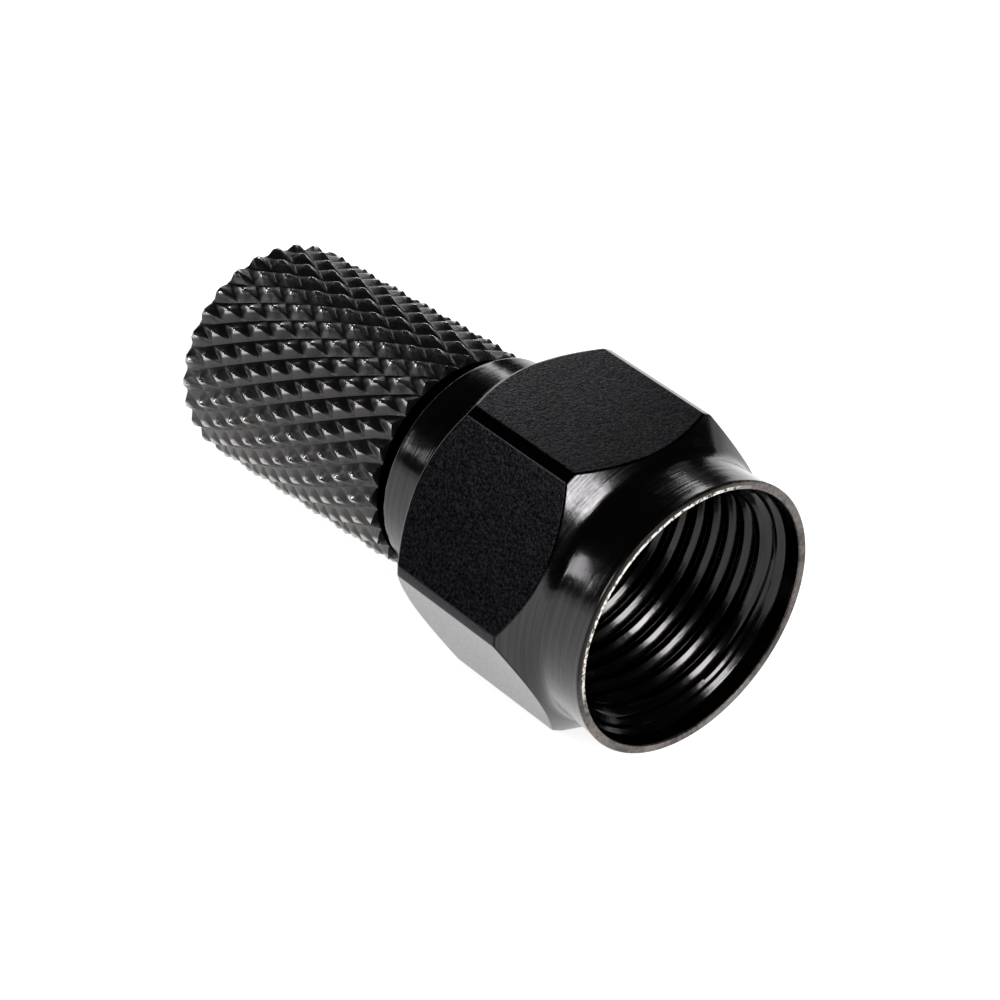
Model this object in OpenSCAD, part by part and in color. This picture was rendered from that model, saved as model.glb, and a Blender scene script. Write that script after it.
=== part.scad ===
// Twist-on F connector: a knurled body that screws onto a coaxial cable, and a
// captive hexagonal coupling nut that screws onto the mating socket.
// The connector lies on a flat surface: the nut on one of its flats, and the
// loose body drooping in it until its rear end touches the surface.
// Millimetres. The nut's axis is X, its mouth points to +X, and +Z is up.
// The origin is on the nut's axis, where its thread begins behind the mouth.

/* [Hexagon] */
// Width of the hexagon across its flats
hex_af = 11; // [10.5:0.1:13]
// Length of the hexagon, bevels included
hex_l = 6.75; // [5:0.05:9]
// Radius at which the bevels meet the hexagon's end faces
hex_face_r = 5.42; // [5.3:0.01:5.5]
// Height taken off each corner of the hexagon
corner_blunt = 0.12; // [0.05:0.01:0.3]

/* [Flared collar] */
// Length of the collar in front of the hexagon
collar_l = 2.42; // [2.1:0.01:4]
// Outer radius of the collar at the mouth
mouth_r = 5.29; // [5.22:0.01:5.4]
// Outer radius of the collar at its waist
waist_r = 5.18; // [5.05:0.01:5.2]
// Depth of the waist behind the mouth
waist_depth = 1.85; // [1:0.05:1.95]
// Width of the flat rim round the mouth
rim_w = 0.3; // [0.1:0.05:0.4]

/* [Socket thread] */
// Radius of the threaded bore at the thread's crests, for a 3/8-32 thread
thread_r = 4.35; // [4.2:0.01:4.4]
// Gap between the thread's end and the drooping flange
seat_gap = 0.3; // [0.2:0.05:0.6]
// Radius of the relief groove behind the thread
relief_r = 4.8; // [4.7:0.05:5]
// Width of the relief groove
relief_w = 0.5; // [0.3:0.05:0.6]

/* [Skirt] */
// Length of the skirt behind the hexagon
skirt_l = 2.38; // [2.1:0.02:3.4]
// Outer radius of the skirt behind the hexagon
skirt_r = 4.38; // [4.35:0.01:4.8]
// Radius of the skirt's rolled rear edge
skirt_round = 0.4; // [0.1:0.05:0.5]
// Length of the lip that the skirt's edge forms behind the flange
lip_l = 0.8; // [0.6:0.05:1.5]

/* [Knurled grip] */
// Radius of the grip over the crests of its knurl
knurl_r = 4.4; // [4.2:0.05:5]
// Length of the grip, bevels included
knurl_l = 11.35; // [8:0.05:16]
// Depth of the knurl's grooves
knurl_depth = 0.32; // [0.1:0.01:0.4]
// Number of grooves that wind each way round the grip
knurl_starts = 28; // [16:1:36]
// Number of half diamonds along the grip, an even number
knurl_rows = 12; // [6:2:16]
// Share of each diamond that is its blunt crest
crest_share = 0.28; // [0.1:0.01:0.5]
// Height of the crown on each crest
crest_crown = 0.03; // [0.01:0.01:0.05]
// Length of the bevel at each end of the grip
knurl_bevel = 0.25; // [0.1:0.05:0.5]

/* [Neck and flange] */
// Radius of the neck that passes through the nut's lip
neck_r = 3.3; // [3.1:0.05:3.4]
// Radius of the flange that the lip holds
flange_r = 3.9; // [3.85:0.01:3.95]
// Length of the flange
flange_l = 2.3; // [2.1:0.05:3]
// Bevel round the flange's contact face
flange_bevel = 0.15; // [0.05:0.05:0.3]

/* [Cable bore] */
// Radius of the cable bore at the crests of its coarse thread
cable_r = 3.3; // [3:0.05:3.45]
// Length of the grip in front of the cable bore's end
cable_stop = 0.75; // [0.5:0.05:3]
// Radius of the bore's flared entry
entry_r = 3.7; // [3.55:0.05:3.9]
// Radius of the hole for the cable's insulated core
core_r = 2.6; // [2.3:0.05:2.7]

/* [Play] */
// Droop of the loose body in its nut
wobble = 4.61; // [0:0.01:6]
// Distance that the loose body lies to one side in its nut
side_play = 0.11; // [0:0.01:0.14]
// Turn of the body about its own axis
body_turn = 2.2; // [0:0.1:90]
// Smallest gap left between the tilted body and the nut
play_gap = 0.05; // [0.02:0.01:0.1]
// Gap left between the tilted grip and the nut's rear edge
grip_gap = 0.1; // [0.05:0.05:0.5]

/* [Hidden] */
$fn = 96;
black_nickel = [0.13, 0.13, 0.14];
black_brass = [0.10, 0.10, 0.11];
over = 1; // how far a cutter runs past a face

// Nut, from the mouth back
hex_corner_r = hex_af / 2 / cos(30);
corner_r = hex_corner_r - corner_blunt;
bevel_l = corner_r - hex_face_r;
mouth_in_r = mouth_r - rim_w;
lead_in = mouth_in_r - thread_r;
hex_end = collar_l + hex_l;
nut_l = hex_end + skirt_l;
lip_depth = nut_l - lip_l;

// Body, tilted about the middle of its flange
pivot_depth = lip_depth - (flange_l / 2 * cos(wobble) + flange_r * sin(wobble) + play_gap);
lip_r = neck_r / cos(wobble) + (nut_l - pivot_depth) * tan(wobble) + side_play + play_gap;
cavity_r = flange_r * cos(wobble) + flange_l / 2 * sin(wobble) + side_play + play_gap;
thread_end = pivot_depth - flange_l / 2 * cos(wobble) - flange_r * sin(wobble) - seat_gap;
relief_end = thread_end + relief_w;
flange_front = pivot_depth - flange_l / 2;
flange_back = pivot_depth + flange_l / 2;
root_r = knurl_r - knurl_depth;
grip_front = pivot_depth + (nut_l - pivot_depth + grip_gap + root_r * sin(wobble)) / cos(wobble);
grip_back = grip_front + knurl_l;

// Knurl lattice: the grooves cross at every second place of every row
half_row = (knurl_l - 2 * knurl_bevel) / knurl_rows;
half_step = 180 / knurl_starts;

// A point on the grip, counted in half diamonds round it and along it
function grip_point(r, column, row) =
    [r * cos(column * half_step), r * sin(column * half_step),
     -grip_back + knurl_bevel + row * half_row];

// A point on an end rim of the grip
function rim_point(column, depth) =
    [root_r * cos(column * half_step), root_r * sin(column * half_step), -depth];

// The middle and the four corners of one diamond's blunt crest
function crest_points(column, row) = [
    grip_point(knurl_r, column, row),
    grip_point(knurl_r - crest_crown, column, row + crest_share),
    grip_point(knurl_r - crest_crown, column + crest_share, row),
    grip_point(knurl_r - crest_crown, column, row - crest_share),
    grip_point(knurl_r - crest_crown, column - crest_share, row)
];

// Places of the points in the grip's list
function crossing(row, k) = row * knurl_starts + k % knurl_starts;
function crest(row, k, corner) =
    ((knurl_rows + 1) + 5 * row) * knurl_starts + 5 * (k % knurl_starts) + corner;
function rim(end, m) = (6 * (knurl_rows + 1) + 4 * end) * knurl_starts + m % (4 * knurl_starts);

// The edge of the first or last row, round the grip
function edge_row(row) = [
    for (k = [0 : knurl_starts - 1])
        each [crossing(row, k), crest(row, k, 4), crest(row, k, 0), crest(row, k, 2)]
];

// The faces of one diamond towards the front or towards the rear of the grip
function front_half(row, k) =
    let (far = crossing(row + 1, k + row % 2), left = crossing(row, k), right = crossing(row, k + 1),
         top = crest(row, k, 0), tip = crest(row, k, 1), east = crest(row, k, 2), west = crest(row, k, 4))
    [[top, tip, east], [top, west, tip],
     [tip, far, right], [tip, right, east],
     [west, left, far], [west, far, tip]];
function rear_half(row, k) =
    let (far = crossing(row - 1, k + row % 2), left = crossing(row, k), right = crossing(row, k + 1),
         top = crest(row, k, 0), tip = crest(row, k, 3), east = crest(row, k, 2), west = crest(row, k, 4))
    [[top, east, tip], [top, tip, west],
     [east, right, far], [east, far, tip],
     [tip, far, left], [tip, left, west]];

// The band of faces between two closed rings of as many points
function band(lower, upper) = [
    for (m = [0 : len(lower) - 1])
        let (n = (m + 1) % len(lower))
        each [[upper[m], upper[n], lower[n]], [upper[m], lower[n], lower[m]]]
];

// A closed solid with a diamond knurl and a bevel at each end
module knurled_grip() {
    columns = 4 * knurl_starts;
    crossings = [for (row = [0 : knurl_rows], k = [0 : knurl_starts - 1])
        grip_point(root_r, 2 * k + row % 2, row)];
    crests = [for (row = [0 : knurl_rows], k = [0 : knurl_starts - 1])
        each crest_points(2 * k + 1 + row % 2, row)];
    steps = [0, 1 - crest_share, 1, 1 + crest_share];
    rims = [for (depth = [grip_back, grip_front], m = [0 : columns - 1])
        rim_point(2 * floor(m / 4) + steps[m % 4], depth)];
    rear_rim = [for (m = [0 : columns - 1]) rim(0, m)];
    front_rim = [for (m = [0 : columns - 1]) rim(1, m)];
    diamonds = [
        for (row = [0 : knurl_rows], k = [0 : knurl_starts - 1]) each concat(
            row < knurl_rows ? front_half(row, k) : [],
            row > 0 ? rear_half(row, k) : [])
    ];
    polyhedron(
        points = concat(crossings, crests, rims),
        faces = concat(
            diamonds,
            band(rear_rim, edge_row(0)),
            band(edge_row(knurl_rows), front_rim),
            [rear_rim],
            [[for (m = [columns - 1 : -1 : 0]) rim(1, m)]]));
}

// The neck and the flange, turned in one piece with the grip
module neck_and_flange() {
    rotate_extrude() polygon([
        [0, -grip_front - knurl_bevel],
        [neck_r, -grip_front - knurl_bevel],
        [neck_r, -flange_back],
        [flange_r, -flange_back],
        [flange_r, -flange_front - flange_bevel],
        [flange_r - flange_bevel, -flange_front],
        [0, -flange_front]
    ]);
}

// The hole through the body: flared entry, cable bore, cone and core hole
module cable_passage() {
    cone_l = cable_r - core_r;
    cable_end = grip_front + cable_stop;
    rotate_extrude() polygon([
        [0, -grip_back - over],
        [entry_r, -grip_back - over],
        [entry_r, -grip_back],
        [cable_r, -grip_back + entry_r - cable_r],
        [cable_r, -cable_end],
        [core_r, -cable_end + cone_l],
        [core_r, -flange_front + over],
        [0, -flange_front + over]
    ]);
}

// Half of the nut's outline: collar, hexagon over its corners, and skirt
module nut_outline() {
    front_arc = (pow(waist_depth, 2) + pow(mouth_r - waist_r, 2)) / (2 * (mouth_r - waist_r));
    rear_l = collar_l - waist_depth;
    rear_arc = (pow(rear_l, 2) + pow(hex_face_r - waist_r, 2)) / (2 * (hex_face_r - waist_r));
    difference() {
        polygon([
            [0, -nut_l],
            [skirt_r, -nut_l],
            [skirt_r, -hex_end],
            [hex_face_r, -hex_end],
            [corner_r, -hex_end + bevel_l],
            [corner_r, -collar_l - bevel_l],
            [hex_face_r, -collar_l],
            [hex_face_r, 0],
            [0, 0]
        ]);
        translate([waist_r + front_arc, -waist_depth]) intersection() {
            circle(r = front_arc);
            translate([-front_arc, 0]) square([2 * front_arc, waist_depth + over]);
        }
        translate([waist_r + rear_arc, -waist_depth]) intersection() {
            circle(r = rear_arc);
            translate([-rear_arc, -rear_l]) square([rear_arc, rear_l]);
        }
        translate([skirt_r - skirt_round, -nut_l + skirt_round]) difference() {
            translate([0, -skirt_round - over]) square([skirt_round + over, skirt_round + over]);
            circle(r = skirt_round);
        }
    }
}

// The hole through the nut: countersunk mouth, thread, relief, flange cavity, lip
module nut_passage() {
    rotate_extrude() polygon([
        [0, over],
        [mouth_in_r, over],
        [mouth_in_r, 0],
        [thread_r, -lead_in],
        [thread_r, -thread_end],
        [relief_r, -thread_end],
        [relief_r, -relief_end],
        [cavity_r, -relief_end],
        [cavity_r, -lip_depth],
        [lip_r, -lip_depth],
        [lip_r, -nut_l - over],
        [0, -nut_l - over]
    ]);
}

// Lays a piece that is modelled from the mouth down along X, on the nut's axis
module on_nut_axis() {
    translate([lead_in, 0, 0]) rotate([0, 90, 0]) children();
}

// Lays a piece down along X, to one side, and lets it droop about the middle of its flange
module on_body_axis() {
    translate([lead_in - pivot_depth, -side_play, 0]) rotate([0, -wobble, 0]) rotate([0, 90, 0])
        rotate([0, 0, body_turn]) translate([0, 0, pivot_depth]) children();
}

module knurled_body() {
    color(black_brass) on_body_axis() difference() {
        union() {
            knurled_grip();
            neck_and_flange();
        }
        cable_passage();
    }
}

module coupling_nut() {
    color(black_nickel) on_nut_axis() difference() {
        intersection() {
            rotate_extrude() nut_outline();
            translate([0, 0, -nut_l - over]) rotate([0, 0, 30])
                cylinder(r = hex_corner_r, h = nut_l + 2 * over, $fn = 6);
        }
        nut_passage();
    }
}

knurled_body();
coupling_nut();
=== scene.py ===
import math
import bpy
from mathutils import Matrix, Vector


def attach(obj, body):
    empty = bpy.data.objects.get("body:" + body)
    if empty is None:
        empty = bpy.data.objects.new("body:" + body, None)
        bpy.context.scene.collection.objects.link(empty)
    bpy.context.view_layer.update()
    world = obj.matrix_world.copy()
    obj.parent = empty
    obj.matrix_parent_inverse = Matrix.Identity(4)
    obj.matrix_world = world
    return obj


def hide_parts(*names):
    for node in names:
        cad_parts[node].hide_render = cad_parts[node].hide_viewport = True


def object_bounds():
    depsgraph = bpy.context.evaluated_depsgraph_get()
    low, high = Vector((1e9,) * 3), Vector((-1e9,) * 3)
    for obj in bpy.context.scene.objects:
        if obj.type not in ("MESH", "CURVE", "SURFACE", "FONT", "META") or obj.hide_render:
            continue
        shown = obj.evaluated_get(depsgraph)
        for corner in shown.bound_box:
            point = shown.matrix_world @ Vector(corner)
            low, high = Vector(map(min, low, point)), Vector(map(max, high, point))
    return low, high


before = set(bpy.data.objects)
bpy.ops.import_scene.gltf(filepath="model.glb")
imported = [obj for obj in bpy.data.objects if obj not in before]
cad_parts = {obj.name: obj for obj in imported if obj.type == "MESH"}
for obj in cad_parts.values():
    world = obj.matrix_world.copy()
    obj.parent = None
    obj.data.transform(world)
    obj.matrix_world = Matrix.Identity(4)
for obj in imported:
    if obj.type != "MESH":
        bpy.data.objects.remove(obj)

from types import SimpleNamespace

import bmesh
import bpy
import numpy as np
from mathutils import Matrix, Vector

cad_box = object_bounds()
MM = 0.001


# ---------------------------------------------------------------- sizes
# Millimetres and degrees, as in the solids. A depth runs backwards from the nut's mouth.

HAIR = 0.0001  # how far the dressed piece stays inside the solids' box
PLAY = 0.05  # between the flange, the neck and the nut that holds them
SEAT_GAP = 0.3  # between the end of the nut's thread and the flange
GRIP_GAP = 0.1  # between the nut's rear edge and the grip
MOUTH_X = cad_box[1].x / MM

NUT = SimpleNamespace(
    af=2 * cad_box[1].z / MM - HAIR, corner_r=cad_box[1].y / MM - HAIR, face_r=5.42,
    collar=2.42, hex_l=6.75, skirt_l=2.38, lip_l=0.8, mouth_r=5.29, rim_w=0.3, worn=0.07,
    waist_r=5.18, waist=1.85, skirt_r=4.42, skirt_end_r=4.31, edge=0.13, relief_r=4.8, relief_w=0.5)
BODY = SimpleNamespace(
    tilt=4.61, side=0.11, turn=2.2, neck_r=3.3, flange_r=3.9, flange_l=2.3, flange_bevel=0.15,
    core_r=2.6, cable_r=3.3, cable_stop=0.75, entry_r=3.7, root_r=4.08, grip_l=11.35, bevel=0.25)

lean, rise = math.cos(math.radians(BODY.tilt)), math.sin(math.radians(BODY.tilt))
NUT.hex_end = NUT.collar + NUT.hex_l
NUT.length = NUT.hex_end + NUT.skirt_l
NUT.lip = NUT.length - NUT.lip_l
flange_reach = BODY.flange_l / 2 * lean + BODY.flange_r * rise
BODY.pivot = NUT.lip - flange_reach - PLAY
BODY.flange_front = BODY.pivot - BODY.flange_l / 2
BODY.flange_back = BODY.pivot + BODY.flange_l / 2
BODY.grip_front = BODY.pivot + (NUT.length - BODY.pivot + GRIP_GAP + BODY.root_r * rise) / lean
BODY.grip_back = BODY.grip_front + BODY.grip_l - 2 * HAIR
BODY.cable_end = BODY.grip_front + BODY.cable_stop
NUT.lip_r = (BODY.neck_r + (NUT.length - BODY.pivot) * rise) / lean + BODY.side + PLAY
NUT.cavity_r = BODY.flange_r * lean + BODY.flange_l / 2 * rise + BODY.side + PLAY
NUT.thread_end = BODY.pivot - flange_reach - SEAT_GAP
NUT.relief_end = NUT.thread_end + NUT.relief_w

RIM_CUT = 0.06  # how far the mouth's inner edge runs in before the counterbore
REAR_CUT = 0.03  # the same at the cable's entry
SOCKET_THREAD = {"Pitch": 25.4 / 32, "Crest Radius": 4.35, "Root Radius": 4.73,
                 "Mouth Radius": 4.95, "Mouth Depth": 0.675, "Rear Mouth Radius": 0.0,
                 "Front Depth": 2 * RIM_CUT, "Rear Depth": NUT.thread_end,
                 "First Crest": 0.70, "Thread Start": 0.95}
CABLE_THREAD = {"Pitch": 1.7, "Crest Radius": BODY.cable_r, "Root Radius": 3.62,
                "Mouth Radius": 0.0, "Mouth Depth": 0.0,
                "Rear Mouth Radius": BODY.entry_r - 2 * REAR_CUT,
                "Front Depth": BODY.cable_end + 0.043, "Rear Depth": BODY.grip_back - 2 * REAR_CUT,
                "First Crest": 13.5, "Thread Start": 12.0}
CREST_FLAT, FLANK_BREAK = 0.11, 0.36  # shares of the pitch, from a crest's middle
TOOTH_SPREAD = [(0, 0), (0.25, 0.11), (0.5, 0.24), (0.75, 0.87), (1, 1)]  # across half a tooth
TOOTH_SLOPE = [(0, 1), (0.25, 0.94), (0.5, 0.79), (0.75, 0.08), (1, 0)]  # its height down to the groove
KNURL = {"Starts": 28, "Rows": 12, "Root Radius": BODY.root_r, "Depth": 0.32, "Second Depth": 0.29,
         "Grip Front": BODY.grip_front, "Grip Back": BODY.grip_back, "Bevel": BODY.bevel,
         "Front Stretch": 0.19, "Rear Stretch": 0.16, "Rear Height": 0.23, "Height Gain": 0.4}


# ---------------------------------------------------------------- shader maths

class Sock:
    """A node's outlet whose operators add Math nodes, for expressions on single values."""

    def __init__(self, tree, out):
        self.tree, self.out = tree, out

    def also(self, name):
        """Another outlet of the same node."""
        return Sock(self.tree, self.out.node.outputs[name])


def math_node(operation, swapped=False):
    """A method that adds one Math node, with its own value last where it is swapped."""
    def add(self, *others):
        node = self.tree.nodes.new("ShaderNodeMath")
        node.operation = operation
        values = [*others, self] if swapped else [self, *others]
        for place, value in enumerate(values):
            put(self.tree, node.inputs[place], value)
        return Sock(self.tree, node.outputs[0])
    return add


OPERATORS = {"add": "ADD", "sub": "SUBTRACT", "mul": "MULTIPLY", "truediv": "DIVIDE", "pow": "POWER"}
METHODS = {"max": "MAXIMUM", "min": "MINIMUM", "abs": "ABSOLUTE", "sin": "SINE", "cos": "COSINE",
           "floor": "FLOOR", "fraction": "FRACT", "sign": "SIGN", "modulo": "MODULO",
           "greater": "GREATER_THAN", "less": "LESS_THAN"}
for label, operation in OPERATORS.items():
    setattr(Sock, f"__{label}__", math_node(operation))
    setattr(Sock, f"__r{label}__", math_node(operation, swapped=True))
for label, operation in METHODS.items():
    setattr(Sock, label, math_node(operation))


def put(tree, socket, value):
    """Feeds a socket with a link or with a constant."""
    if isinstance(value, Sock):
        tree.links.new(value.out, socket)
    else:
        socket.default_value = value


def draw_curve(mapping, points):
    """Gives a Float Curve straight stretches between these points."""
    curve = mapping.curves[0]
    while len(curve.points) < len(points):
        curve.points.new(0.5, 0.5)
    for point, place in zip(curve.points, points):
        point.location, point.handle_type = place, "VECTOR"
    mapping.update()


class Tree:
    """A node tree with one method that adds any node."""

    def __init__(self, tree):
        self.tree = tree
        tree.nodes.clear()

    def node(self, kind, settings=None, outlet=0, **values):
        """Adds a node. A value is named for its socket, or i and the socket's number."""
        made = self.tree.nodes.new(kind)
        for name, value in (settings or {}).items():
            if name == "points":
                draw_curve(made.mapping, value)
            else:
                setattr(made, name, value)
        for name, value in values.items():
            numbered = name[0] == "i" and name[1:].isdigit()
            put(self.tree, made.inputs[int(name[1:]) if numbered else name.replace("_", " ")], value)
        return Sock(self.tree, made.outputs[outlet]) if made.outputs else None

    def split(self, vector):
        """The three parts of a vector."""
        x = self.node("ShaderNodeSeparateXYZ", Vector=vector)
        return x, x.also("Y"), x.also("Z")

    def join(self, x, y, z):
        return self.node("ShaderNodeCombineXYZ", X=x, Y=y, Z=z)

    def share(self, value, low, high, kind="LINEAR"):
        """0 at the low value and 1 at the high one."""
        return self.node("ShaderNodeMapRange", {"interpolation_type": kind}, i0=value, i1=low, i2=high)

    def blend(self, share, low, high):
        """A colour between two colours."""
        return self.node("ShaderNodeMix", {"data_type": "RGBA"}, outlet="Result", i0=share, i6=low, i7=high)


def material(name, build):
    made = bpy.data.materials.new(name)
    made.use_nodes = True
    build(Tree(made.node_tree))
    return made


# ---------------------------------------------------------------- finishes

def times(colour, factor):
    return tuple(factor * part for part in colour[:3]) + (1,)


def place_on_axis(t, axis):
    """Object coordinates turned to a piece's own axis, their parts, and the distance from it."""
    where = t.node("ShaderNodeTexCoord", outlet="Object")
    where = t.node("ShaderNodeMapping", {"vector_type": "TEXTURE"}, Vector=where, **axis)
    x, y, z = t.split(where)
    return where, x, y, z, (y * y + z * z) ** 0.5


def noise(t, where, per_mm, detail=2.0, low=0.0, high=1.0):
    """Soft noise with so many grains a millimetre; low and high stretch its contrast."""
    where = t.node("ShaderNodeVectorMath", {"operation": "SCALE"}, Vector=where, Scale=per_mm / MM)
    grain = t.node("ShaderNodeTexNoise", Vector=where, Scale=1.0, Detail=detail, Roughness=0.6)
    return t.share(grain, low, high)


def dark_plating(t, base, rough, height, depth):
    """Black nickel of this colour and roughness over a surface with dents of this depth in metres."""
    dent = t.node("ShaderNodeBump", Strength=1.0, Distance=depth, Height=height)
    shader = t.node("ShaderNodeBsdfPrincipled", Base_Color=base, Metallic=1.0, Roughness=rough,
                    Normal=dent)
    t.node("ShaderNodeOutputMaterial", Surface=shader)


def turned_plating(t, axis, base=(0.043, 0.0415, 0.043, 1), gloss=0.12):
    """Black nickel over fine turning lines, which run round the axis and break up."""
    steepen, round_stretch = 1.7, 0.03  # lines on end faces too; grains drawn out round the axis
    where, x, y, z, radius = place_on_axis(t, axis)
    lines = noise(t, t.join(x - steepen * radius, y * round_stretch, z * round_stretch), 8.0, 4.0, 0.25, 0.75)
    marked = noise(t, where, 0.7, 3.0, 0.4, 0.6)
    tint = t.blend(lines, times(base, 0.75), times(base, 1.3))
    dark_plating(t, tint, gloss + 0.12 * lines * marked, lines * marked, 6e-6)


def thread_plating(t, axis):
    turned_plating(t, axis, (0.029, 0.0277, 0.0277, 1), 0.14)


def drawn_flats(t, axis):
    """The bar's own surface on the flats: satin, with a fine grain."""
    where = t.node("ShaderNodeTexCoord", outlet="Object")
    grain = noise(t, where, 9.0, 2.0, 0.3, 0.7)
    tint = t.blend(grain, (0.007, 0.0069, 0.0092, 1), (0.020, 0.019, 0.0213, 1))
    dark_plating(t, tint, 0.15 + 0.1 * grain, grain, 2e-6)


def rim_wear_and_painted_light(t, axis):
    """The mouth's edge: rough from the cut and browner where the plating is thin. On the upper side only, a
    painted highlight runs along its inner half, broken up by the pits, and painted shade, near black, covers
    its outer half."""
    where, _, y, z, radius = place_on_axis(t, axis)
    pits = noise(t, where, 6.0, 3.0, 0.25, 0.75)
    thin = t.share(noise(t, where, 0.45, 2.0) + 0.35 * (pits - 0.5), 0.35, 0.65)
    tint = t.blend(thin, (0.06, 0.054, 0.05, 1), (0.19, 0.17, 0.158, 1))
    # Painted light: this mask picks the rim's upper side, where a highlight and shade are painted below.
    painted_light_side = t.share((z * 0.74 - y * 0.67) / radius, 0.3, 0.75, "SMOOTHSTEP")
    outer = t.share(radius, 5.09 * MM, 5.15 * MM, "SMOOTHSTEP")
    # Painted shade: the rim's outer half on the upper side is coloured near black.
    tint = t.blend(painted_light_side * outer, tint, (0.02, 0.019, 0.018, 1))
    # Painted highlight: the rim's inner half on the upper side is coloured pale, broken up by the pits.
    painted_highlight = painted_light_side * (1.0 - outer) * t.share(pits, 0.3, 0.55)
    tint = t.blend(painted_highlight, tint, (0.85, 0.8, 0.74, 1))
    dark_plating(t, tint, 0.3 + 0.2 * pits, pits, 7e-6)


def knurled_plating(t, axis):
    """The knurl: satin and softly uneven where the wheels pressed it, polished on the crests."""
    where, *_, radius = place_on_axis(t, axis)
    press = noise(t, where, 5.0, 3.0)
    crest = t.share(radius, 4.26 * MM, 4.35 * MM, "SMOOTHSTEP")
    tint = t.blend(crest, (0.055, 0.0525, 0.052, 1), (0.36, 0.35, 0.335, 1))
    dark_plating(t, tint, 0.3 + 0.16 * press - 0.23 * crest, press, 1.2e-5)


NUT_FINISHES = [turned_plating, drawn_flats, thread_plating, rim_wear_and_painted_light]
TURNED, FLATS, THREAD, RIM = range(4)
BODY_FINISHES = [turned_plating, knurled_plating]
KNURLED = 1


def plate_with(prefix, axis, makers):
    """A piece's materials, in the order of its finishes."""
    return [material(prefix + maker.__name__, lambda t: maker(t, axis)) for maker in makers]


# ---------------------------------------------------------------- geometry nodes

def geometry_tree(name, sizes, build):
    """A geometry tree with named inputs for its sizes, which ends in Set Material."""
    group = bpy.data.node_groups.new(name, "GeometryNodeTree")
    for label, value in sizes.items():
        kind = "NodeSocketInt" if isinstance(value, int) else "NodeSocketFloat"
        group.interface.new_socket(label, in_out="INPUT", socket_type=kind).default_value = value
    group.interface.new_socket("Finish", in_out="INPUT", socket_type="NodeSocketMaterial")
    group.interface.new_socket("Geometry", in_out="OUTPUT", socket_type="NodeSocketGeometry")
    t = Tree(group)
    inputs = group.nodes.new("NodeGroupInput")
    size = {label: Sock(group, inputs.outputs[label]) for label in [*sizes, "Finish"]}
    whole = t.node("GeometryNodeRealizeInstances", Geometry=build(t, size))
    painted = t.node("GeometryNodeSetMaterial", Geometry=whole, Material=size["Finish"])
    t.node("NodeGroupOutput", i0=painted)
    return group


def grow(name, sizes, build, finish):
    """Builds a geometry tree, runs it with these sizes, and returns a plain mesh."""
    group = geometry_tree(name, sizes, build)
    carrier = bpy.data.objects.new("carrier", bpy.data.meshes.new("carrier"))
    bpy.context.scene.collection.objects.link(carrier)
    modifier = carrier.modifiers.new("grow", "NODES")
    modifier.node_group = group
    for item in group.interface.items_tree:
        if item.in_out == "INPUT":
            modifier[item.identifier] = finish if item.name == "Finish" else sizes[item.name]
    bpy.context.view_layer.update()
    made = bpy.data.meshes.new_from_object(carrier.evaluated_get(bpy.context.evaluated_depsgraph_get()))
    bpy.data.objects.remove(carrier)
    return made


def thread_wall(t, size, depth, round_share):
    """A threaded hole's radius: flat crests, flanks in two slopes, and a widened mouth."""
    phase = ((depth - size["First Crest"]) / size["Pitch"] + round_share + 0.5).fraction()
    from_crest = (phase - 0.5).abs()
    upper_flank = t.share(from_crest, CREST_FLAT, FLANK_BREAK)
    lower_flank = t.share(from_crest, FLANK_BREAK, 0.5)
    not_yet_cut = 1.0 - (depth - size["Thread Start"]) / (0.5 * size["Pitch"])
    lift = ((upper_flank + lower_flank) * 0.5).max(not_yet_cut.min(1.0))
    wall = size["Crest Radius"] + (size["Root Radius"] - size["Crest Radius"]) * lift
    wall = wall.max(size["Mouth Radius"] - (depth - size["Mouth Depth"]).max(0.0))
    return wall.max(size["Rear Mouth Radius"] - (size["Rear Depth"] - depth))


def helical_bore(t, size):
    """The wall of a threaded hole: rows that follow the helix, held between two flat ends."""
    columns, per_turn, turns = 216, 16, 12
    rows = per_turn * turns
    grid = t.node("GeometryNodeMeshGrid", Size_X=1.0, Size_Y=float(rows), Vertices_X=columns + 1,
                  Vertices_Y=rows + 1)
    across, along, _ = t.split(t.node("GeometryNodeInputPosition"))
    round_share, row = across + 0.5, along + rows / 2
    helix = size["Pitch"] * (row * (1 / per_turn) - round_share)
    depth = (helix + size["Front Depth"]).max(size["Front Depth"]).min(size["Rear Depth"])
    radius = thread_wall(t, size, depth, round_share)
    angle = round_share * (2 * math.pi)
    wrapped = t.join(MOUTH_X - depth, radius * angle.cos(), radius * angle.sin())
    bent = t.node("GeometryNodeSetPosition", Geometry=grid, Position=wrapped)
    return t.node("GeometryNodeMergeByDistance", Geometry=bent, Distance=0.002)


def knurl_tooth(t, size):
    """One crowned tooth, bounded by the grooves of both knurling wheels."""
    cells = 8
    patch = t.node("GeometryNodeMeshGrid", Size_X=2.0, Size_Y=2.0, Vertices_X=cells + 1,
                   Vertices_Y=cells + 1)
    a, b, _ = t.split(t.node("GeometryNodeInputPosition"))
    patch = t.node("GeometryNodeTriangulate", {"quad_method": "FIXED"}, Mesh=patch,
                   Selection=(a * b).greater(0.0))
    patch = t.node("GeometryNodeTriangulate", {"quad_method": "FIXED_ALTERNATE"}, Mesh=patch)
    across, high = [], []
    for side, depth in ((a, size["Depth"]), (b, size["Second Depth"])):
        out = side.abs()
        across.append(t.node("ShaderNodeFloatCurve", {"points": TOOTH_SPREAD}, Value=out) * side.sign())
        slope = t.node("ShaderNodeFloatCurve", {"points": TOOTH_SLOPE}, Value=out)
        high.append(size["Depth"] - depth * (1.0 - slope))
    place = t.join((across[0] + across[1]) * 0.5, (across[0] - across[1]) * 0.5, high[0].min(high[1]))
    return t.node("GeometryNodeSetPosition", Geometry=patch, Position=place)


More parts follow.
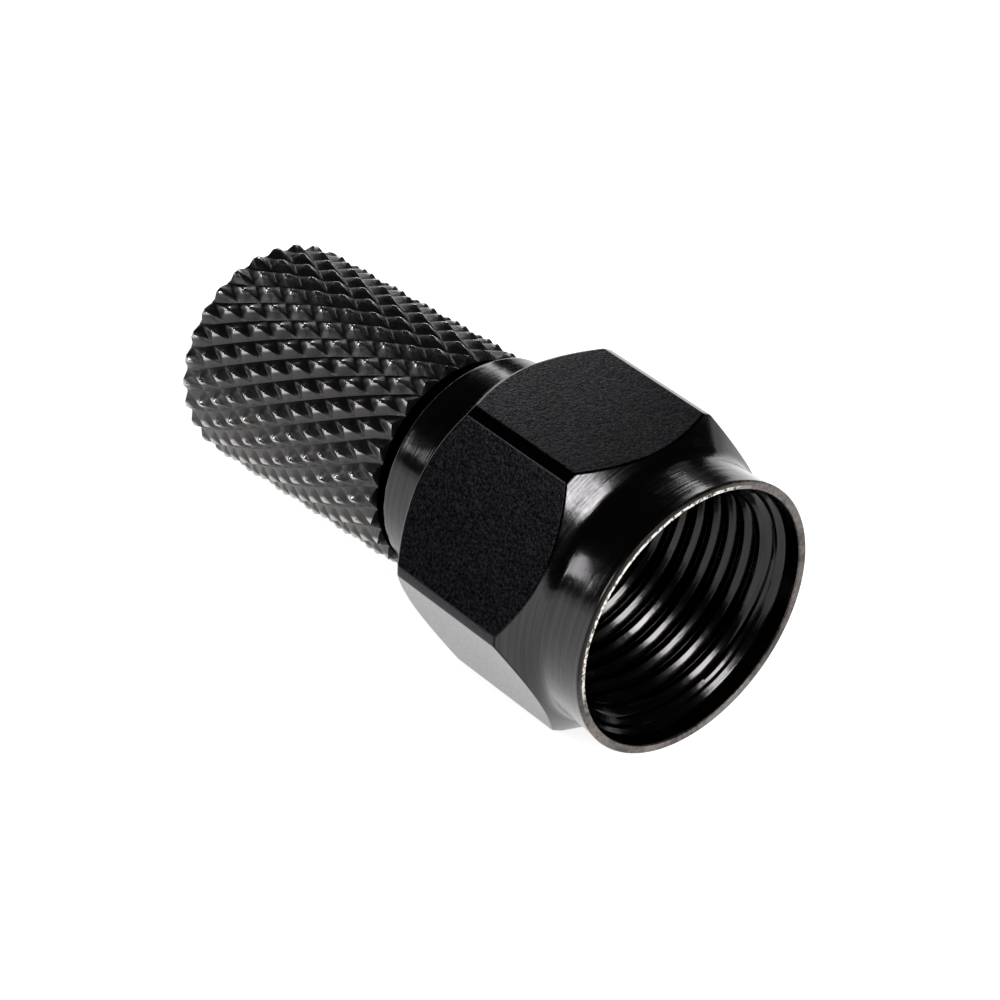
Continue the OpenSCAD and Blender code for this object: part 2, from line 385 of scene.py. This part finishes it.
def flat_knurl(t, size):
    """The teeth in a diamond lattice, with half teeth cut off at both ends."""
    number = t.node("GeometryNodeInputIndex")
    row = (number / size["Starts"] + 0.001).floor()
    column = (number - row * size["Starts"]) * 2.0 + 1.0 + row.modulo(2.0)
    lattice = t.node("GeometryNodePoints", Count=size["Starts"] * (size["Rows"] + 1.0),
                     Position=t.join(column, row, 0.0))
    teeth = t.node("GeometryNodeInstanceOnPoints", Points=lattice, Instance=knurl_tooth(t, size))
    teeth = t.node("GeometryNodeRealizeInstances", Geometry=teeth)
    _, row, _ = t.split(t.node("GeometryNodeInputPosition"))
    outside = (row - size["Rows"] * 0.5).abs().greater(size["Rows"] * 0.5)
    return t.node("GeometryNodeDeleteGeometry", {"domain": "FACE"}, Geometry=teeth, Selection=outside)


def wrapped_knurl(t, size):
    """The lattice wrapped round the grip. Its end rows reach into the bevels, and the rear one is
    rolled lower."""
    column, row, height = t.split(t.node("GeometryNodeInputPosition"))
    length = size["Grip Back"] - size["Grip Front"] - 2.0 * size["Bevel"]
    forward = MOUTH_X - size["Grip Back"] + size["Bevel"] + row * length / size["Rows"]
    forward = forward + (row - size["Rows"] + 0.5).max(0.0) * (2.0 * size["Front Stretch"])
    forward = forward - (0.5 - row).max(0.0) * (2.0 * size["Rear Stretch"])
    angle = column * math.pi / size["Starts"] + math.radians(BODY.turn - 90)
    radius = size["Root Radius"] + height.min(size["Rear Height"] + size["Height Gain"] * row)
    wrapped = t.join(forward, radius * angle.cos(), radius * angle.sin())
    sleeve = t.node("GeometryNodeSetPosition", Geometry=flat_knurl(t, size), Position=wrapped)
    return t.node("GeometryNodeMergeByDistance", Geometry=sleeve, Distance=0.004)


def diamond_knurl(t, size):
    """The grip's outside: the knurl, with a bevel down to the root at each end."""
    rim = t.node("GeometryNodeInputMeshEdgeNeighbors").less(1.5)
    grown = t.node("GeometryNodeExtrudeMesh", {"mode": "EDGES"}, Mesh=wrapped_knurl(t, size),
                   Selection=rim, Offset_Scale=0.0)
    x, y, z = t.split(t.node("GeometryNodeInputPosition"))
    shrink = size["Root Radius"] / (y * y + z * z) ** 0.5
    rear, front = MOUTH_X - size["Grip Back"], MOUTH_X - size["Grip Front"]
    end = x.greater((rear + front) * 0.5) * (front - rear) + rear
    return t.node("GeometryNodeSetPosition", Geometry=grown, Selection=grown.also("Top"),
                  Position=t.join(end, y * shrink, z * shrink))


# ---------------------------------------------------------------- turned shapes
# A corner of an outline is (depth, radius, softness, finish after it). Its depth and its radius may
# be one for each column.

def unit(steps):
    return steps / np.linalg.norm(steps, axis=-1)[..., None]


def soften(corners, steps=4):
    """Rounds the corners of a turned outline, and keeps the surfaces beside them flat."""
    most, beside = 0.3, 1.5  # the largest share of a side that is cut; where the flat begins
    points = [np.stack(np.broadcast_arrays(c[0], c[1]), -1).astype(float) for c in corners]
    rows, finishes = [], []
    for place, (_, _, soft, finish) in enumerate(corners):
        here = points[place]
        if not soft:
            rows.append(here)
            finishes.append(finish)
            continue
        before, after = points[place - 1] - here, points[place + 1] - here
        reach = np.minimum(np.linalg.norm(before, axis=-1), np.linalg.norm(after, axis=-1))
        cut = np.minimum(soft, most * reach)[..., None]
        start, stop = here + unit(before) * cut, here + unit(after) * cut
        rows.append(here + (start - here) * beside)
        finishes.append(finishes[-1])
        for share in np.linspace(0, 1, steps + 1):
            rows.append((1 - share) ** 2 * start + 2 * share * (1 - share) * here + share ** 2 * stop)
            finishes.append(finish)
        rows.append(here + (stop - here) * beside)
        finishes.append(finish)
    return rows, finishes[:-1]


def arc(start, stop, centre, steps, finish):
    """Corners along a round profile, from start to stop about a centre."""
    first, last = (math.atan2(p[1] - centre[1], p[0] - centre[0]) for p in (start, stop))
    last += 2 * math.pi * round((first - last) / (2 * math.pi))
    radius = math.dist(start, centre)
    return [(centre[0] + radius * math.cos(angle), centre[1] + radius * math.sin(angle), 0, finish)
            for angle in np.linspace(first, last, steps + 1)]


def turned(corners, angles):
    """A turned surface: its rounded outline at every angle round the X axis."""
    rows, finishes = soften(corners)
    rows = np.array([np.broadcast_to(row, (len(angles), 2)) for row in rows])
    depth, radius = rows[..., 0], rows[..., 1]
    verts = np.stack([MOUTH_X - depth, radius * np.cos(angles), radius * np.sin(angles)], -1)
    around = len(angles)
    faces = [(i * around + j, i * around + (j + 1) % around,
              (i + 1) * around + (j + 1) % around, (i + 1) * around + j)
             for i in range(len(rows) - 1) for j in range(around)]
    mesh = bpy.data.meshes.new("turned")
    mesh.from_pydata(verts.reshape(-1, 3).tolist(), [], faces)
    mesh.polygons.foreach_set("material_index", np.repeat(finishes, around).astype(np.int32))
    return mesh


def hexagon_columns():
    """Angles round the nut, close together at the hexagon's corners."""
    near_corner = [0, 0.7, 1.3, 1.65, 1.85, 2.0, 2.15, 2.35, 2.7, 3.4]
    half = [*near_corner, *np.linspace(4.8, 30, 15)]
    one = sorted(set([-a for a in half[1:-1]] + half))
    return np.radians([a + 60 * k for k in range(6) for a in one])


def hexagon_radius(angles):
    """The hexagon's radius at each angle, with its corners turned off and softened."""
    sixth = math.pi / 3
    from_corner = np.abs((angles + sixth / 2) % sixth - sixth / 2)
    flat = NUT.af / 2 / np.cos(sixth / 2 - from_corner)
    blend = 0.006  # how widely the flat and the turned corner run into each other
    return NUT.corner_r - blend * np.log(np.exp((NUT.corner_r - flat) / blend) + 1)


def mouth_rim(n):
    """The mouth's edge, from its inner corner over the worn outer one."""
    mouth_in = n.mouth_r - n.rim_w
    worn = arc((0, n.mouth_r - n.worn), (n.worn, n.mouth_r), (n.worn, n.mouth_r - n.worn), 5, RIM)
    return [(RIM_CUT, mouth_in - 0.03, 0, RIM), (0, mouth_in, 0.03, RIM),
            (0, n.mouth_r - n.worn - 0.02, 0, RIM), *worn[:-1], (n.worn, n.mouth_r, 0, TURNED)]


def collar(n):
    """The collar: it narrows from the mouth to a waist and sweeps out to the hexagon's face."""
    drop, climb = n.mouth_r - n.waist_r, n.face_r - n.waist_r
    back = n.collar - n.waist
    front_centre = (n.waist, n.waist_r + (n.waist ** 2 + drop ** 2) / (2 * drop))
    rear_centre = (n.waist, n.waist_r + (back ** 2 + climb ** 2) / (2 * climb))
    flare = arc((0, n.mouth_r), (n.waist, n.waist_r), front_centre, 10, TURNED)
    sweep = arc((n.waist, n.waist_r), (n.collar, n.face_r), rear_centre, 10, TURNED)
    return flare[1:-1] + sweep[:-1]


def hexagon(n):
    """The hexagon, with both ends of its corners turned to 45 degree cones."""
    top = hexagon_radius(hexagon_columns())
    bevel = top - n.face_r
    return [(n.collar + 0 * top, n.face_r, 0, TURNED), (n.collar + bevel, top, 0.06, FLATS),
            (n.hex_end - bevel, top, 0.06, TURNED), (n.hex_end + 0 * top, n.face_r, 0.04, TURNED)]


def skirt(n):
    """The round skirt, and its rear edge, rolled in behind the body's flange."""
    edge_l, end_r = n.length - n.edge, n.skirt_end_r - n.edge
    rolled = arc((edge_l, n.skirt_end_r), (n.length, end_r), (edge_l, end_r), 6, TURNED)
    return [(n.hex_end, n.skirt_r, 0.05, TURNED), (edge_l - 0.05, n.skirt_end_r, 0, TURNED), *rolled,
            (n.length, end_r - 0.05, 0, TURNED), (n.length, n.lip_r, 0.06, TURNED)]


def nut_inside(n):
    """From the lip through the flange's cavity and the relief groove to the thread's end."""
    return [(n.lip, n.lip_r, 0.05, TURNED), (n.lip, n.cavity_r, 0.05, TURNED),
            (n.relief_end, n.cavity_r, 0.05, TURNED), (n.relief_end, n.relief_r, 0.05, TURNED),
            (n.thread_end, n.relief_r, 0, TURNED)]


def body_front(b):
    """From the grip's front face over the neck and the flange, and in to the cable bore."""
    cone = b.cable_r - b.core_r
    return [(b.grip_front, b.root_r - 0.05, 0, TURNED), (b.grip_front, b.neck_r, 0.08, TURNED),
            (b.flange_back, b.neck_r, 0.08, TURNED), (b.flange_back, b.flange_r, 0.05, TURNED),
            (b.flange_front + b.flange_bevel, b.flange_r, 0.04, TURNED),
            (b.flange_front, b.flange_r - b.flange_bevel, 0.04, TURNED),
            (b.flange_front, b.core_r, 0.06, TURNED), (b.cable_end - cone, b.core_r, 0.05, TURNED),
            (b.cable_end, b.cable_r, 0, TURNED)]


def body_rear(b):
    """The rear face round the cable's entry."""
    return [(b.grip_back - REAR_CUT, b.entry_r - REAR_CUT, 0, TURNED),
            (b.grip_back, b.entry_r, 0.02, TURNED), (b.grip_back, b.root_r - 0.05, 0, TURNED)]


# ---------------------------------------------------------------- joining

def round_angle(vert):
    return math.atan2(vert.co.z, vert.co.y)


def open_ring(bm, points, depth):
    """Open-edge points of one mesh at one depth, in order round the axis."""
    near = 0.01
    found = [bm.verts[i] for i in points
             if bm.verts[i].is_boundary and abs(bm.verts[i].co.x - MOUTH_X + depth) < near]
    return sorted(found, key=round_angle)


def zip_rings(bm, one, two):
    """Closes the gap between two open rings that may have different numbers of points."""
    def turn(ring, place):
        return round_angle(ring[place % len(ring)]) + 2 * math.pi * (place // len(ring))
    i = j = 0
    while i < len(one) or j < len(two):
        a, b = one[i % len(one)], two[j % len(two)]
        if j >= len(two) or (i < len(one) and turn(one, i + 1) <= turn(two, j + 1)):
            bm.faces.new((a, one[(i + 1) % len(one)], b))
            i += 1
        else:
            bm.faces.new((a, two[(j + 1) % len(two)], b))
            j += 1


def gather(bm, meshes):
    """Puts open surfaces in one mesh and returns the points of each."""
    points = []
    for mesh, finish in meshes:
        first_point, first_face = len(bm.verts), len(bm.faces)
        bm.from_mesh(mesh)
        bm.verts.ensure_lookup_table()
        bm.faces.ensure_lookup_table()
        points.append(range(first_point, len(bm.verts)))
        if finish is not None:
            for face in bm.faces[first_face:]:
                face.material_index = finish
    return points


def assemble(name, meshes, seams, materials, place):
    """Joins open surfaces into one closed piece. A seam is two open rings, each (mesh, depth)."""
    bm = bmesh.new()
    points = gather(bm, meshes)
    rings = [[open_ring(bm, points[mesh], depth) for mesh, depth in seam] for seam in seams]
    for one, two in rings:
        zip_rings(bm, one, two)
    bmesh.ops.remove_doubles(bm, verts=bm.verts, dist=0.0005)
    bmesh.ops.recalc_face_normals(bm, faces=bm.faces)
    mesh = bpy.data.meshes.new(name)
    for made in materials:
        mesh.materials.append(made)
    bm.to_mesh(mesh)
    bm.free()
    mesh.transform(Matrix.Scale(MM, 4) @ place)
    mesh.shade_smooth()
    mesh.set_sharp_from_angle(angle=math.radians(50))
    piece = bpy.data.objects.new(name, mesh)
    bpy.context.scene.collection.objects.link(piece)
    return piece


# ---------------------------------------------------------------- the two pieces

def make_nut():
    materials = plate_with("nut_", {}, NUT_FINISHES)
    outside = mouth_rim(NUT) + collar(NUT) + hexagon(NUT) + skirt(NUT) + nut_inside(NUT)
    thread = grow("helical bore", SOCKET_THREAD, helical_bore, materials[THREAD])
    nut = assemble("coupling_nut_turned",
                   [(turned(outside, hexagon_columns()), None), (thread, THREAD)],
                   [((0, RIM_CUT), (1, SOCKET_THREAD["Front Depth"])),
                    ((0, NUT.thread_end), (1, SOCKET_THREAD["Rear Depth"]))],
                   materials, Matrix.Identity(4))
    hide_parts("coupling_nut")
    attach(nut, "nut")


def make_body():
    """The body, turned on the nut's axis and then drooped in the nut about its flange."""
    b = BODY
    pivot = Vector((MOUTH_X - b.pivot, 0, 0))
    droop = math.radians(-b.tilt)
    place = (Matrix.Translation(pivot + Vector((0, -b.side, 0))) @ Matrix.Rotation(droop, 4, "Y")
             @ Matrix.Translation(-pivot))
    axis = {"Location": (pivot.x * MM, -b.side * MM, 0), "Rotation": (0, droop, 0)}
    materials = plate_with("body_", axis, BODY_FINISHES)
    even = np.linspace(-math.pi, math.pi, 192, endpoint=False)
    sleeve = grow("diamond knurl", KNURL, diamond_knurl, materials[KNURLED])
    thread = grow("helical cable bore", CABLE_THREAD, helical_bore, materials[TURNED])
    body = assemble("knurled_body_turned",
                    [(sleeve, KNURLED), (turned(body_front(b), even), None), (thread, TURNED),
                     (turned(body_rear(b), even), None)],
                    [((0, b.grip_front), (1, b.grip_front)),
                     ((1, b.cable_end), (2, CABLE_THREAD["Front Depth"])),
                     ((2, CABLE_THREAD["Rear Depth"]), (3, b.grip_back - REAR_CUT)),
                     ((3, b.grip_back), (0, b.grip_back))],
                    materials, place)
    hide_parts("knurled_body")
    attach(body, "body")


# ---------------------------------------------------------------- camera

VIEW = SimpleNamespace(azimuth=48.017, elevation=35.547, roll=2.49, distance=120.919,
                       aim_right=6.617, aim_up=-4.054, lens=128.1)


def make_camera():
    """A long lens that looks into the mouth from above and to one side."""
    azimuth, elevation, roll = map(math.radians, (VIEW.azimuth, VIEW.elevation, VIEW.roll))
    back = Vector((math.sin(azimuth) * math.cos(elevation), -math.cos(azimuth) * math.cos(elevation),
                   math.sin(elevation)))
    level = Vector((math.cos(azimuth), math.sin(azimuth), 0))
    upright = back.cross(level)
    right = level * math.cos(roll) + upright * math.sin(roll)
    up = upright * math.cos(roll) - level * math.sin(roll)
    place = Vector((MOUTH_X, 0, 0)) + back * VIEW.distance - right * VIEW.aim_right - up * VIEW.aim_up
    data = bpy.data.cameras.new("camera")
    data.lens, data.sensor_width = VIEW.lens, 36
    data.clip_start, data.clip_end = 0.005, 10
    camera = bpy.data.objects.new("camera", data)
    turn = Matrix((right, up, back)).transposed().to_4x4()
    camera.matrix_world = Matrix.Translation(place * MM) @ turn
    bpy.context.scene.collection.objects.link(camera)
    bpy.context.scene.camera = camera


# ---------------------------------------------------------------- studio, in metres

TABLE_SIZE = (4.0, 4.0)
TABLE_PAINT = (0.8, 0.8, 0.8, 1)
TABLE_GLOW = 0.87
ROOM_LIGHT = 0.25
FLAG_COLOUR = (0.03, 0.03, 0.035, 1)
BOUNCE_COLOUR = (0.27, 0.27, 0.28, 1)
# size, place, direction it faces
FLAGS = {"top": ((1.4, 1.4), (0, 0, 0.32), (0, 0, -1)),
         "left": ((1.4, 0.28), (0, -0.6, 0.2), (0, 1, 0)),
         "right": ((1.4, 0.28), (0, 0.6, 0.2), (0, -1, 0)),
         "back": ((1.4, 0.28), (-0.6, 0, 0.2), (1, 0, 0)),
         "front": ((1.4, 0.28), (0.6, 0, 0.2), (-1, 0, 0)),
         "bounce": ((0.30, 0.16), (-0.35, 0.29, 0.26), (0.35, -0.29, -0.26))}
# size, direction from the nut, distance, radiance
SOFTBOXES = {"rear": ((0.11, 0.11), (-0.735, 0.56, 0.40), 0.5, 5.5),
             "left": ((0.15, 0.12), (-0.52, -0.75, 0.39), 0.5, 7.0),
             "front": ((0.16, 0.12), (0.76, -0.14, 0.62), 0.45, 25.0)}
LIT_FROM, LIT_AT = Vector((-0.005, 0, 0)), Vector((-0.01, 0, 0))  # distances start here; lamps face here


def plate(name, size, place, normal, build):
    """A flat card of the studio, facing along its normal, with its second side upright."""
    half_w, half_h = size[0] / 2, size[1] / 2
    mesh = bpy.data.meshes.new(name)
    turn = Vector(normal).to_track_quat("Z", "Y").to_matrix()
    corners = [(-half_w, -half_h), (half_w, -half_h), (half_w, half_h), (-half_w, half_h)]
    mesh.from_pydata([turn @ Vector((x, y, 0)) + Vector(place) for x, y in corners], [], [(0, 1, 2, 3)])
    made = bpy.data.objects.new(name, mesh)
    mesh.materials.append(material(name, build))
    bpy.context.scene.collection.objects.link(made)
    return made


def lamp(name, size, place, radiance):
    """A softbox that is as bright as its radiance, whatever its size."""
    data = bpy.data.lights.new(name, "AREA")
    data.shape, data.size, data.size_y = "RECTANGLE", size[0], size[1]
    data.energy = radiance * math.pi * size[0] * size[1]
    made = bpy.data.objects.new(name, data)
    made.location = place
    made.rotation_mode = "QUATERNION"
    made.rotation_quaternion = (place - LIT_AT).to_track_quat("Z", "Y")
    bpy.context.scene.collection.objects.link(made)


def seen_as_background(t):
    """1 for the rays that see the plain white background: camera, glossy and transmission rays."""
    ray = t.node("ShaderNodeLightPath", outlet="Is Camera Ray")
    return ray.max(ray.also("Is Glossy Ray")).max(ray.also("Is Transmission Ray"))


def white_table(t):
    paint = t.node("ShaderNodeBsdfDiffuse", Color=TABLE_PAINT)
    glow = t.node("ShaderNodeEmission", Color=(1, 1, 1, 1), Strength=seen_as_background(t) * TABLE_GLOW)
    t.node("ShaderNodeOutputMaterial", Surface=t.node("ShaderNodeAddShader", i0=paint, i1=glow))


def plain_card(t, colour):
    t.node("ShaderNodeOutputMaterial", Surface=t.node("ShaderNodeEmission", Color=colour, Strength=1.0))


def black_cloth(t):
    plain_card(t, FLAG_COLOUR)


def grey_card(t):
    plain_card(t, BOUNCE_COLOUR)


def make_world():
    world = bpy.data.worlds.new("studio")
    bpy.context.scene.world = world
    world.use_nodes = True
    t = Tree(world.node_tree)
    strength = seen_as_background(t) * (1 - ROOM_LIGHT) + ROOM_LIGHT
    white = t.node("ShaderNodeBackground", Color=(1, 1, 1, 1), Strength=strength)
    t.node("ShaderNodeOutputWorld", Surface=white)


def make_studio():
    """A lit white table in a white room, with dark flags and a grey card that only gloss sees."""
    plate("table", TABLE_SIZE, (0, 0, cad_box[0].z), (0, 0, 1), white_table)
    for name, (size, place, normal) in FLAGS.items():
        flag = plate("flag_" + name, size, place, normal, grey_card if name == "bounce" else black_cloth)
        flag.visible_camera = flag.visible_diffuse = flag.visible_shadow = False
    for name, (size, towards, distance, radiance) in SOFTBOXES.items():
        lamp(name, size, LIT_FROM + Vector(towards).normalized() * distance, radiance)
    make_world()


make_camera()
make_studio()
make_nut()
make_body()

bpy.context.scene.view_settings.view_transform = "Standard"
